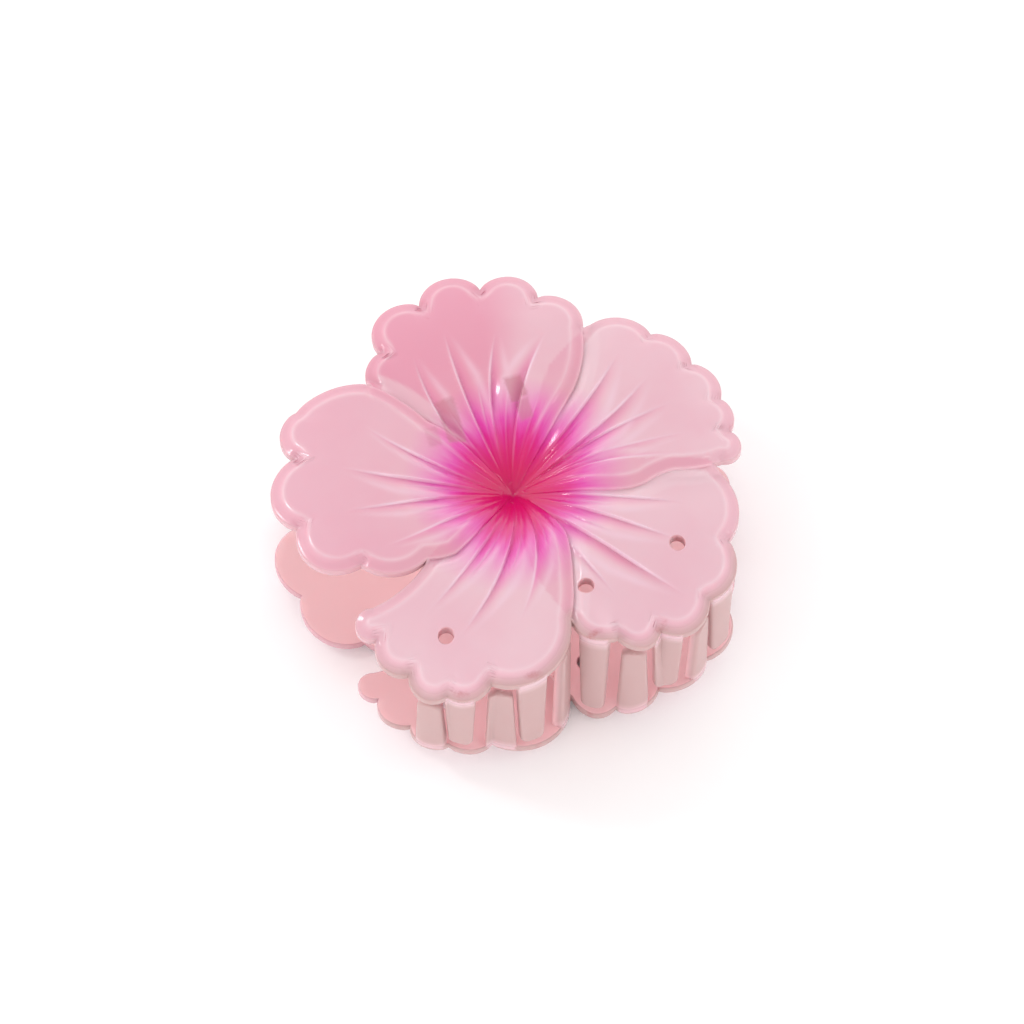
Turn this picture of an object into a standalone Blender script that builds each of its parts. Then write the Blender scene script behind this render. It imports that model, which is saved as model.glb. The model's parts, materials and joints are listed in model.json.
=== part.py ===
"""Flower hair claw clip: two moulded flower halves on a hinge pin with a torsion spring.

The clip lies on its back. +Z is the front flower's normal, +Y points to the top petal and
the jaws close along the lower rim. The rear flower is the front one mirrored in the
mid-plane, apart from its teeth, which fill the gaps between the front ones, and its hinge
lugs, which stand outside the front ones.
"""

import math

import bmesh
import bpy
from mathutils import Vector

MM = 0.001

# Plate and petal form, in millimetres. Heights are measured from the clip's mid-plane.
PLATE = 2.6            # thickness of a petal
CENTRE_HEIGHT = 10.0   # outer surface at the flower's centre
CREST_HEIGHT = 18.0    # outer surface at the crest
CREST_RADIUS = 21.0    # how far out the crest lies
RIM_FALL = 3.0         # drop from the crest to a point one RIM_RUN further out
RIM_RUN = 20.0
REST_HEIGHT = 18.1     # the crests are flat at this height, where the clip rests
LEAN_OVER = 0.9        # how far an overlapping edge rises
LEAN_UNDER = 1.3       # how far a covered edge sinks
LEAN_ANGLE = 36.0      # bearing from a petal's axis at which a lean is full
LEAN_FADE = 14.0       # radius at which a lean is full
RIM_ROUND = 1.3        # width of the rounded rim
RIM_DROP = 1.0         # how far the rounded rim falls
HUB_RADIUS = 4.6
HUB_THICKNESS = 3.4
HUB_SIDES = 20
HUB_PROUD = 0.7        # hub's outer face above the petals' centre
PETAL_MIDDLE = 20.0    # radius of the point that a petal's rings shrink to
RINGS_OUTER = (0.66, 0.33)
RINGS_INNER = (0.6, 0.3)
ARC_TURN = 32.0        # most that an arc of an outline turns in one step, in degrees
ARC_STEP = 7.5         # longest step along an outline
SHARP_ANGLE = 35.0     # edges that turn more than this are shaded sharp

# Hinge, in millimetres.
HINGE_Y = 14.0         # hinge axis above the flower's centre
PIN_RADIUS = 0.95
BORE_RADIUS = 1.03
HEAD_RADIUS = 1.9
HEAD_LENGTH = 0.9
HEAD_DOME = 0.72       # radius of a head's end, as a share of the head's radius
PIN_SLACK = 0.3        # from a rear lug to the head beside it
ROUND_SIDES = 28       # sides of the pin and the bores
LUG_WIDTH = 2.7
FRONT_LUG_X = 5.9      # centre of each front lug
REAR_LUG_X = 9.1       # centre of each rear lug
BOSS_RADIUS = 3.2      # round end of a lug
BOSS_ARC = (170.0, 370.0)   # turn about the axis at which the round end starts and stops
BOSS_POINTS = 10
LUG_ROOT = ((-4.0, 14.9), (4.0, 16.3))   # lug's root edge: from the axis, height

# Torsion spring, in millimetres.
WIRE_RADIUS = 0.42
COIL_RADIUS = 2.3
COIL_HALF_LENGTH = 3.1
COIL_TURNS = 5
TURN_STEPS = 14        # points along each turn
LEG_STEPS = 4          # points along each leg
LEG_TIP = (13.0, 13.9)  # from the hinge axis, in Y and Z

# Teeth, in millimetres and degrees of bearing about the flower's centre.
TOOTH_ROOT_WIDTH = 5.6
TOOTH_TIP_WIDTH = 4.2
TOOTH_THICKNESS = 2.0
TOOTH_INSET = 0.15     # outer face from the rim
TOOTH_SPAN = 4.0       # bearing each side of a tooth over which its facing is taken
ROOT_DEPTH = 1.5       # a tooth starts this far below the petal's outer surface
TOOTH_ROUND = 1.5      # height over which the tip rounds off
TOOTH_ROUND_LEVELS = (0.0, 0.6, 1.0)
TOOTH_NARROWING = 0.6  # the tip's end is narrower by the root of one less this
TOOTH_SPOTS = 5        # points along a tooth's outer face
TIP_GAP = 1.2          # from a tooth's tip to the opposite plate
FRONT_TEETH = (("lower_left", 211.0), ("lower_left", 192.6),
               ("lower_right", 173.0), ("lower_right", 154.6), ("lower_right", 136.3))
REAR_TEETH = (("lower_left", 218.6), ("lower_left", 201.0), ("lower_left", 181.4),
              ("lower_right", 163.2), ("lower_right", 144.0))

# Round holes through the lower petals: radius from the centre and bearing.
HOLE_RADIUS = 1.35
HOLE_SIDES = 20
HOLES = ((31.5, 219.4), (24.2, 166.7), (30.9, 131.5))

# Cutters for the bores and the holes reach well past what they cut.
BORE_CUT = 30.0
HOLE_CUT = 12.0
HOLE_CUT_HEIGHT = 15.3

# Each petal: the bearing of its axis, how its two edges lean (1 over its neighbour, -1 under
# it), the bends of its rim (how far it sinks, bearing from the axis, spread) and its outline.
# An outline corner is (radius, bearing from the axis, bulge of the arc to the next corner).
PETALS = {
    "top": dict(
        bearing=0.0, lean=(-1, 1), bends=(),
        outline=((3.0, -62.0, 0.0), (20.0, -41.0, 0.0), (28.2, -41.0, 0.4), (30.5, -36.5, 1.6),
                 (34.3, -25.1, 4.5), (38.2, -7.6, 4.1), (38.0, 9.2, 3.6), (35.9, 25.0, 2.9),
                 (30.9, 41.2, 0.7), (20.2, 49.7, 1.0), (3.0, 62.0, 1.0))),
    "upper_right": dict(
        bearing=72.0, lean=(-1, 1), bends=(),
        outline=((3.0, -62.0, 0.0), (22.0, -38.0, 0.0), (30.5, -31.5, 3.6), (37.7, -14.2, 1.9),
                 (38.9, -0.5, 1.9), (39.8, 11.6, 1.4), (39.1, 21.3, 2.6), (36.5, 30.2, 0.5),
                 (28.0, 32.7, -0.3), (23.0, 38.3, 0.3), (18.2, 42.9, 0.2), (12.3, 45.0, 1.0),
                 (3.0, 62.0, 1.0))),
    "lower_right": dict(
        bearing=144.0, lean=(-1, -1), bends=((2.6, 8.0, 10.0), (-4.0, 29.0, 5.0)),
        outline=((3.0, -62.0, 0.0), (20.0, -46.0, 0.0), (34.0, -42.5, 3.4), (38.9, -20.0, 2.8),
                 (40.2, -3.7, 2.6), (37.4, 11.0, 2.2), (34.8, 22.8, 1.9), (29.4, 33.4, 0.5),
                 (18.0, 44.0, 1.0), (3.0, 62.0, 1.0))),
    "lower_left": dict(
        bearing=216.0, lean=(1, -1), bends=((3.3, 1.0, 15.0),),
        outline=((3.0, -62.0, 0.5), (13.7, -60.0, 0.3), (21.6, -46.6, 0.3), (28.9, -38.2, 4.9),
                 (37.5, -12.4, 1.7), (40.4, -1.9, 2.2), (39.4, 9.2, 2.2), (37.6, 21.0, 3.1),
                 (34.0, 28.0, -1.3), (21.0, 26.0, 0.0), (3.0, 62.0, 1.0))),
    "upper_left": dict(
        bearing=288.0, lean=(1, 1), bends=(),
        outline=((3.0, -62.0, 0.5), (17.5, -55.7, 0.3), (21.3, -46.5, 2.3), (31.0, -32.5, 4.3),
                 (38.4, -13.1, 4.3), (38.4, 6.9, 2.6), (40.3, 20.0, 1.7), (30.7, 35.6, 0.6),
                 (18.2, 36.0, 0.3), (3.0, 62.0, 1.0))),
}

PETAL_COLOUR = (0.86, 0.45, 0.56, 1.0)
REAR_COLOUR = (0.84, 0.42, 0.50, 1.0)
STEEL_COLOUR = (0.62, 0.62, 0.63, 1.0)


# ---- plan geometry ------------------------------------------------------------------------

def polar(radius, bearing):
    """Plan point at a radius and a bearing, which runs clockwise from +Y."""
    angle = math.radians(bearing)
    return Vector((radius * math.sin(angle), radius * math.cos(angle)))


def arc(start, end, bulge):
    """Points from start up to, not including, end along an arc that bulges to the left."""
    chord = end - start
    sweep = 4.0 * math.atan(2.0 * bulge / chord.length)
    steps = max(math.ceil(abs(sweep) / math.radians(ARC_TURN)), math.ceil(chord.length / ARC_STEP))
    if abs(sweep) < 0.01:
        return [start.lerp(end, i / steps) for i in range(steps)]
    radius = chord.length / (2.0 * math.sin(sweep / 2.0))
    middle = (start + end) / 2.0
    left = Vector((-chord.y, chord.x)).normalized()
    centre = middle - left * radius * math.cos(sweep / 2.0)
    spoke = start - centre
    points = []
    for i in range(steps):
        turn = -sweep * i / steps
        cosine, sine = math.cos(turn), math.sin(turn)
        points.append(centre + Vector((spoke.x * cosine - spoke.y * sine,
                                       spoke.x * sine + spoke.y * cosine)))
    return points


def petal_outline(petal):
    """Closed plan outline of a petal, clockwise seen from the front."""
    corners = [(polar(radius, petal["bearing"] + offset), bulge)
               for radius, offset, bulge in petal["outline"]]
    points = []
    for i, (corner, bulge) in enumerate(corners):
        points += arc(corner, corners[(i + 1) % len(corners)][0], bulge)
    return points


def reach(outline, start, direction):
    """Farthest distance from start, along a unit direction, at which a ray meets an outline."""
    side = Vector((direction.y, -direction.x))
    best = 0.0
    for i, corner in enumerate(outline):
        following = outline[(i + 1) % len(outline)]
        a, b = (corner - start).dot(side), (following - start).dot(side)
        if a * b <= 0.0 and abs(a - b) > 1e-9:
            best = max(best, (corner.lerp(following, a / (a - b)) - start).dot(direction))
    return best


def rim_point(outline, bearing):
    """Point where an outline crosses a bearing from the flower's centre."""
    direction = polar(1.0, bearing)
    return direction * reach(outline, Vector((0.0, 0.0)), direction)


# ---- petal surface ------------------------------------------------------------------------

def outer_height(petal, point):
    """Height of a petal's outer surface above the mid-plane."""
    radius = point.length
    bearing = math.degrees(math.atan2(point.x, point.y)) - petal["bearing"]
    offset = (bearing + 180.0) % 360.0 - 180.0
    if radius < CREST_RADIUS:
        rise = math.sin(math.pi / 2.0 * radius / CREST_RADIUS)
        height = CENTRE_HEIGHT + (CREST_HEIGHT - CENTRE_HEIGHT) * rise
    else:
        height = CREST_HEIGHT - RIM_FALL * ((radius - CREST_RADIUS) / RIM_RUN) ** 2
    lean = petal["lean"][0] if offset < 0.0 else petal["lean"][1]
    share = min(abs(offset) / LEAN_ANGLE, 1.0)
    lift = LEAN_OVER if lean > 0 else -LEAN_UNDER
    height += lift * share * share * min(radius / LEAN_FADE, 1.0)
    outward = max(radius - CREST_RADIUS, 0.0) / RIM_RUN
    for depth, middle, spread in petal["bends"]:
        height -= depth * outward ** 1.3 * math.exp(-(((offset - middle) / spread) ** 2) / 2.0)
    return min(height, REST_HEIGHT)


def ring_loop(bm, points, heights, side):
    return [bm.verts.new((p.x * MM, p.y * MM, side * h * MM)) for p, h in zip(points, heights)]


def bridge(bm, first, second):
    """Quads between two rings of the same length."""
    for i in range(len(first)):
        j = (i + 1) % len(first)
        bm.faces.new((first[i], first[j], second[j], second[i]))


def cap(bm, ring, middle):
    """Triangles from a ring to a middle vertex."""
    for i in range(len(ring)):
        bm.faces.new((ring[i], ring[(i + 1) % len(ring)], middle))


def finish_mesh(bm, name):
    """Object from a bmesh, in triangles whose normals are turned to point out."""
    bmesh.ops.triangulate(bm, faces=bm.faces)
    bmesh.ops.recalc_face_normals(bm, faces=bm.faces)
    mesh = bpy.data.meshes.new(name)
    bm.to_mesh(mesh)
    bm.free()
    obj = bpy.data.objects.new(name, mesh)
    bpy.context.scene.collection.objects.link(obj)
    return obj


def petal_solid(key, side):
    """One petal: a curved plate with a rounded outer rim. side is 1 front, -1 rear."""
    petal = PETALS[key]
    outline = petal_outline(petal)
    middle = polar(PETAL_MIDDLE, petal["bearing"])
    inset = [point + (middle - point).normalized() * RIM_ROUND for point in outline]
    full = [outer_height(petal, point) for point in inset]
    bm = bmesh.new()
    edge = ring_loop(bm, outline, [h - RIM_DROP for h in full], side)
    ring = ring_loop(bm, inset, full, side)
    bridge(bm, edge, ring)
    for scale in RINGS_OUTER:
        points = [middle.lerp(point, scale) for point in inset]
        inner = ring_loop(bm, points, [outer_height(petal, p) for p in points], side)
        bridge(bm, ring, inner)
        ring = inner
    centre_height = outer_height(petal, middle)
    cap(bm, ring, bm.verts.new((middle.x * MM, middle.y * MM, side * centre_height * MM)))
    base = ring_loop(bm, outline, [h - PLATE for h in full], side)
    bridge(bm, base, edge)
    ring = base
    for scale in RINGS_INNER:
        points = [middle.lerp(point, scale) for point in outline]
        inner = ring_loop(bm, points, [outer_height(petal, p) - PLATE for p in points], side)
        bridge(bm, ring, inner)
        ring = inner
    under = centre_height - PLATE
    cap(bm, ring, bm.verts.new((middle.x * MM, middle.y * MM, side * under * MM)))
    return finish_mesh(bm, key)


def hub_solid(side):
    """Disc that joins the petals at the flower's centre."""
    bm = bmesh.new()
    bmesh.ops.create_cone(bm, cap_ends=True, segments=HUB_SIDES, radius1=HUB_RADIUS * MM,
                          radius2=HUB_RADIUS * MM, depth=HUB_THICKNESS * MM)
    lift = (CENTRE_HEIGHT + HUB_PROUD - HUB_THICKNESS / 2.0) * side * MM
    bmesh.ops.translate(bm, verts=bm.verts, vec=(0.0, 0.0, lift))
    return finish_mesh(bm, "hub")


def tooth_plan(outline, base, along, out, width):
    """Plan of a tooth: a strip of the rim and the same strip moved inwards."""
    outside = []
    for i in range(TOOTH_SPOTS):
        start = base + along * width * (i / (TOOTH_SPOTS - 1) - 0.5)
        outside.append(start + out * (reach(outline, start, out) - TOOTH_INSET))
    return outside + [point - out * TOOTH_THICKNESS for point in outside[::-1]]


def tooth_solid(key, bearing, side):
    """Tooth that stands on the rim and follows it in plan; its end is rounded."""
    petal = PETALS[key]
    outline = petal_outline(petal)
    first = rim_point(outline, bearing - TOOTH_SPAN)
    last = rim_point(outline, bearing + TOOTH_SPAN)
    along = (last - first).normalized()
    out = Vector((-along.y, along.x))
    base = (first + last) / 2.0 - out * 2.0 * TOOTH_THICKNESS
    plans = [tooth_plan(outline, base, along, out, TOOTH_ROOT_WIDTH)]
    roots = [outer_height(petal, point) - ROOT_DEPTH for point in plans[0]]
    tip = -(min(roots) + ROOT_DEPTH - PLATE - TIP_GAP)
    heights = [roots]
    for past in TOOTH_ROUND_LEVELS:
        width = TOOTH_TIP_WIDTH * math.sqrt(1.0 - TOOTH_NARROWING * past * past)
        plans.append(tooth_plan(outline, base, along, out, width))
        heights.append([tip + TOOTH_ROUND * (1.0 - past)] * len(roots))
    bm = bmesh.new()
    rings = [ring_loop(bm, plan, height, side) for plan, height in zip(plans, heights)]
    for upper, lower in zip(rings, rings[1:]):
        bridge(bm, upper, lower)
    bm.faces.new(rings[0])
    bm.faces.new(rings[-1])
    return finish_mesh(bm, "tooth")


def lug_solid(x, side):
    """Hinge lug: a tapered leg from the plate with a round boss about the hinge axis."""
    profile = [Vector(LUG_ROOT[1]), Vector(LUG_ROOT[0])]
    first, last = BOSS_ARC
    for i in range(BOSS_POINTS):
        turn = math.radians(first + (last - first) * i / (BOSS_POINTS - 1))
        profile.append(Vector((BOSS_RADIUS * math.cos(turn), BOSS_RADIUS * math.sin(turn))))
    bm = bmesh.new()
    ends = []
    for half in (-0.5, 0.5):
        across = (x + half * LUG_WIDTH) * MM
        ends.append([bm.verts.new((across, (HINGE_Y + p.x) * MM, side * p.y * MM))
                     for p in profile])
    bridge(bm, ends[0], ends[1])
    bm.faces.new(ends[0])
    bm.faces.new(ends[1])
    return finish_mesh(bm, "lug")


# ---- joining and cutting ------------------------------------------------------------------

def cylinder(name, radius, depth, centre, axis, segments):
    """Plain cylinder in millimetres along X or Z, used as a cutter."""
    bm = bmesh.new()
    bmesh.ops.create_cone(bm, cap_ends=True, segments=segments, radius1=radius * MM,
                          radius2=radius * MM, depth=depth * MM)
    for vertex in bm.verts:
        x, y, z = vertex.co
        vertex.co = (z, y, -x) if axis == "X" else (x, y, z)
    bmesh.ops.translate(bm, verts=bm.verts, vec=Vector(centre) * MM)
    return finish_mesh(bm, name)


def combine(body, others, operation):
    """Apply one Boolean with each of the other objects, and remove them.

    All the solids are closed. The EXACT solver loses the body when a lug joins the petals,
    so the MANIFOLD solver joins them.
    """
    for other in others:
        modifier = body.modifiers.new(other.name, "BOOLEAN")
        modifier.operation = operation
        modifier.solver = "MANIFOLD"
        modifier.object = other
    bpy.context.view_layer.update()
    graph = bpy.context.evaluated_depsgraph_get()
    mesh = bpy.data.meshes.new_from_object(body.evaluated_get(graph))
    body.modifiers.clear()
    body.data = mesh
    for other in others:
        bpy.data.objects.remove(other)


def place(obj, name, material, shift):
    """Name an object, give it its material and move its geometry into the part's frame."""
    obj.name = name
    obj.data.name = name
    obj.data.materials.clear()
    obj.data.materials.append(material)
    for vertex in obj.data.vertices:
        vertex.co += shift
    obj.data.shade_smooth()
    obj.data.set_sharp_from_angle(angle=math.radians(SHARP_ANGLE))


def move_origin(obj, origin):
    """Put an object's origin at a point without moving its geometry."""
    for vertex in obj.data.vertices:
        vertex.co -= origin
    obj.location = origin


def make_material(name, colour, roughness, metallic):
    material = bpy.data.materials.new(name)
    material.use_nodes = True
    shader = material.node_tree.nodes["Principled BSDF"]
    shader.inputs["Base Color"].default_value = colour
    shader.inputs["Roughness"].default_value = roughness
    shader.inputs["Metallic"].default_value = metallic
    return material


# ---- the pieces ---------------------------------------------------------------------------

def claw(teeth, lug_x, side):
    """One moulded half: five petals, hub, teeth and two lugs, with its bores and holes."""
    keys = list(PETALS)
    body = petal_solid(keys[0], side)
    added = [petal_solid(key, side) for key in keys[1:]]
    added.append(hub_solid(side))
    added += [tooth_solid(key, bearing, side) for key, bearing in teeth]
    added += [lug_solid(x, side) for x in (-lug_x, lug_x)]
    combine(body, added, "UNION")
    cutters = [cylinder("bore", BORE_RADIUS, BORE_CUT, (0.0, HINGE_Y, 0.0), "X", ROUND_SIDES)]
    for radius, bearing in HOLES:
        spot = polar(radius, bearing)
        cutters.append(cylinder("hole", HOLE_RADIUS, HOLE_CUT,
                                (spot.x, spot.y, side * HOLE_CUT_HEIGHT), "Z", HOLE_SIDES))
    combine(body, cutters, "DIFFERENCE")
    return body


def hinge_pin():
    """Round pin with a head at each end, turned about the hinge axis."""
    shank = REAR_LUG_X + LUG_WIDTH / 2.0 + PIN_SLACK
    head = [(shank, PIN_RADIUS), (shank, HEAD_RADIUS), (shank + 0.5 * HEAD_LENGTH, HEAD_RADIUS),
            (shank + HEAD_LENGTH, HEAD_DOME * HEAD_RADIUS)]
    profile = [(-x, radius) for x, radius in head[::-1]] + head
    bm = bmesh.new()
    rings = []
    for x, radius in profile:
        ring = []
        for i in range(ROUND_SIDES):
            turn = 2.0 * math.pi * i / ROUND_SIDES
            ring.append(bm.verts.new((x * MM, (HINGE_Y + radius * math.cos(turn)) * MM,
                                      radius * math.sin(turn) * MM)))
        rings.append(ring)
    for first, second in zip(rings, rings[1:]):
        bridge(bm, first, second)
    bm.faces.new(rings[0])
    bm.faces.new(rings[-1])
    return finish_mesh(bm, "hinge_pin")


def spring_path():
    """Centre line of the torsion spring, about the hinge axis: leg, coil, leg."""
    tip = Vector(LEG_TIP)
    touch = math.atan2(tip.y, tip.x) + math.acos(COIL_RADIUS / tip.length)
    sweep = 2.0 * (math.pi - touch) + 2.0 * math.pi * COIL_TURNS
    steps = TURN_STEPS * COIL_TURNS
    points = []
    for i in range(steps + 1):
        turn = touch + sweep * i / steps
        x = COIL_HALF_LENGTH * (2.0 * i / steps - 1.0)
        points.append(Vector((x, COIL_RADIUS * math.cos(turn), COIL_RADIUS * math.sin(turn))))
    first, last = points[0], points[-1]
    front_tip = Vector((first.x, tip.x, tip.y))
    rear_tip = Vector((last.x, tip.x, -tip.y))
    lead = [front_tip.lerp(first, i / LEG_STEPS) for i in range(LEG_STEPS)]
    tail = [last.lerp(rear_tip, (i + 1) / LEG_STEPS) for i in range(LEG_STEPS)]
    return lead + points + tail


def torsion_spring():
    """Round wire swept along the spring's centre line."""
    curve = bpy.data.curves.new("torsion_spring", "CURVE")
    curve.dimensions = "3D"
    curve.bevel_depth = WIRE_RADIUS * MM
    curve.bevel_resolution = 2
    curve.use_fill_caps = True
    points = spring_path()
    spline = curve.splines.new("POLY")
    spline.points.add(len(points) - 1)
    for slot, point in zip(spline.points, points):
        slot.co = (point.x * MM, point.y * MM, point.z * MM, 1.0)
    obj = bpy.data.objects.new("torsion_spring", curve)
    bpy.context.scene.collection.objects.link(obj)
    return obj


def plan_centre():
    """Middle of the flower's plan box, measured from the flower's centre."""
    points = [point for petal in PETALS.values() for point in petal_outline(petal)]
    xs = [point.x for point in points]
    ys = [point.y for point in points]
    return Vector(((min(xs) + max(xs)) / 2.0, (min(ys) + max(ys)) / 2.0, 0.0))


def main():
    for obj in list(bpy.data.objects):
        bpy.data.objects.remove(obj)
    shift = (Vector((0.0, 0.0, REST_HEIGHT)) - plan_centre()) * MM
    hinge = shift + Vector((0.0, HINGE_Y * MM, 0.0))

    steel = make_material("spring_steel", STEEL_COLOUR, 0.3, 1.0)
    front = claw(FRONT_TEETH, FRONT_LUG_X, 1)
    place(front, "front_claw", make_material("front_plastic", PETAL_COLOUR, 0.22, 0.0), shift)
    move_origin(front, hinge)
    rear = claw(REAR_TEETH, REAR_LUG_X, -1)
    place(rear, "rear_claw", make_material("rear_plastic", REAR_COLOUR, 0.22, 0.0), shift)
    pin = hinge_pin()
    place(pin, "hinge_pin", make_material("pin_steel", STEEL_COLOUR, 0.25, 1.0), shift)
    spring = torsion_spring()
    spring.location = hinge
    spring.data.materials.append(steel)


main()
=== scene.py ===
"""Looks for the flower hair claw clip.

Each moulded half is one closed mesh: a slab of five overlapping petals with a fine surface, its
teeth and its hinge lugs. The slab is a height field over the flower's plan. Plan lengths are in
millimetres from the flower's centre, and bearings run clockwise from the top petal's axis.
"""

import json
import math

import bmesh
import bpy
import numpy as np
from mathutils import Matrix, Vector, geometry, kdtree

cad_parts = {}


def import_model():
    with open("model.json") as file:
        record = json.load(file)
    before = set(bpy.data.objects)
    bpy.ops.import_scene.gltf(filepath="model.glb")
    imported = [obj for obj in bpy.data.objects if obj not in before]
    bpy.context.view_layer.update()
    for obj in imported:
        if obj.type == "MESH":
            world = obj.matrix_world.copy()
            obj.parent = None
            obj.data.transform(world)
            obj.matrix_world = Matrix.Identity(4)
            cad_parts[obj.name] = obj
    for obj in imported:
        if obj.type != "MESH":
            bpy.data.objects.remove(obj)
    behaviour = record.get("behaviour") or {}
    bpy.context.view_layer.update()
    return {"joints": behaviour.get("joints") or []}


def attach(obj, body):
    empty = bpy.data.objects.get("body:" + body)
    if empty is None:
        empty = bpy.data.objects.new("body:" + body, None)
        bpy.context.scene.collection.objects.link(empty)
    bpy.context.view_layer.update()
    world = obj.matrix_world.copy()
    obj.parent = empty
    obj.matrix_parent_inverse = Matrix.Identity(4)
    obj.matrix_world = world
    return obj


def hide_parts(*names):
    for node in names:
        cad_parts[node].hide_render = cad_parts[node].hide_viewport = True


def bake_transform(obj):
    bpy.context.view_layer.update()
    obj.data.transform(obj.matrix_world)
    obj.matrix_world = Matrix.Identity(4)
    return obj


MM = 0.001
LIGHT = 1.3            # what the studio's light makes of a pale matt surface that faces up
GLEAM = 0.03           # what gloss adds to it

# Camera: where it looks from, in degrees, and how far its aim lies from the flower's centre.
AZIMUTH = -18.0
ELEVATION = 65.0
DISTANCE = 1300.0
LENS = 262.8
AIM_RIGHT = -0.17
AIM_UP = -2.96

# Plate form, as in the CAD.
PLATE = 2.6
CENTRE_HEIGHT = 10.0
CREST_HEIGHT = 18.0
CREST_RADIUS = 21.0
RIM_FALL = 3.0
RIM_RUN = 20.0
REST_HEIGHT = 18.1
LEAN_OVER = 0.9
LEAN_UNDER = 1.3
LEAN_ANGLE = 36.0
LEAN_FADE = 14.0       # leans and rim bands fade out within this radius
HINGE_Y = 14.0

# Fine form of the surface.
CORNER = 0.3           # radius of the rim's top and bottom corners
BAND_WIDTH = 2.3       # lower band inside the rim
BAND_DROP = 0.8
BAND_STEP = 0.5        # share of the drop at the band's inner edge
BAND_STEP_WIDTH = 0.5  # share of the band over which that step falls
SOFT_CLIP = 0.12       # softness of the flat crests
CLIFF = 0.05           # plan width of the step at an overlapping edge
SEAM_STEP = 0.22       # height of that step
SEAM_WIDTH = 1.7       # width over which a covered petal rises to the step
NOTCH_DEPTH = 0.5
NOTCH_LENGTH = 5.5
NOTCH_WIDTH = 1.0
NOTCH_RADIUS = 30.0    # outline corners beyond this radius pull a valley into the petal
VEIN_DEPTH = 1.02      # share of a vein's listed depth
VEIN_WALL = (-0.14, 0.2)  # where the steep side of a groove starts and ends across its line

# Mesh spacing.
RIM_STEP = 0.42
FINE_STEP = 0.31
COARSE_STEP = 0.5
UNDER_STEP = 1.1
FINE_RADIUS = 15.0
GRID_REACH = 42.0
EDGE_ROWS = (-CLIFF, 0.0, 0.06, 0.16, 0.3, 0.6, 1.0, 1.4, 1.7, 2.0, 2.3, 2.6)
RIM_ROWS = (0.28,) + EDGE_ROWS[5:]
VEIN_ROWS = (-0.34, -0.12, 0.05, 0.24)
VEIN_STEP = 0.55
HOLE_SIDES = 28
ROUND_SIDES = 48
SHARP_ANGLE = math.radians(48.0)
METAL_SHARP_ANGLE = math.radians(40.0)

# Teeth and lugs, as in the CAD.
TOOTH_ROOT_WIDTH = 5.6
TOOTH_TIP_WIDTH = 4.2
TOOTH_THICKNESS = 2.0
TOOTH_PROUD = 0.03
TOOTH_SPAN = 4.0
ROOT_DEPTH = 1.5
TIP_GAP = 1.2
TIP_ROUND = 1.7
EDGE_ROUND = 0.5
TOOTH_COLUMNS = 17
FLATTENING = 0.85      # share of the scallops that a tooth's outer face loses at its tip
FRONT_TEETH = (("lower_left", 211.0), ("lower_left", 192.6),
               ("lower_right", 173.0), ("lower_right", 154.6), ("lower_right", 136.3))
REAR_TEETH = (("lower_left", 218.6), ("lower_left", 201.0), ("lower_left", 181.4),
              ("lower_right", 163.2), ("lower_right", 144.0))
LUG_WIDTH = 2.7
FRONT_LUG_X = 5.9
REAR_LUG_X = 9.1
BOSS_RADIUS = 3.2
BORE_RADIUS = 1.03
LUG_ROOT = ((-4.0, 14.9), (4.0, 16.3))
LUG_ROUND = 0.3
LUG_INSET = 0.5        # flat ring inside the rounded edge, so that the sides shade flat
DYE_CORE = 3.5         # radius within which the dye is full
SEEN_THROUGH = (       # lugs that show through the plate: left, right, low, high, strength
    (4.2, 7.3, 13.9, 18.2, 1.0), (4.8, 7.1, 10.2, 13.6, 0.8),
    (-8.5, -5.2, 9.8, 17.8, 0.9), (-12.0, -9.7, 9.7, 13.4, 0.5))
HOLE_RADIUS = 1.35
HOLE_LIP = 1.5
HOLE_DROP = 0.15       # fall of a hole's rounded edge
HOLES = ((31.5, 219.4), (24.2, 166.7), (30.9, 131.5))

# Pin and spring, as in the CAD.
PIN_RADIUS = 0.95
HEAD_RADIUS = 1.9
HEAD_LENGTH = 0.9
HEAD_PROFILE = ((0.0, 0.72), (0.12, 0.86), (0.3, 0.96), (0.5, 1.0), (0.8, 1.0), (0.88, 0.97),
                (0.9, 0.9))
PIN_SLACK = 0.3
WIRE_RADIUS = 0.42
WIRE_SIDES = 14
WIRE_END = 0.8         # share of the radius at the wire's two ends
COIL_RADIUS = 2.3
COIL_HALF_LENGTH = 3.1
COIL_TURNS = 5
TURN_STEPS = 36
LEG_STEPS = 12
LEG_TIP = (13.0, 13.9)

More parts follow.
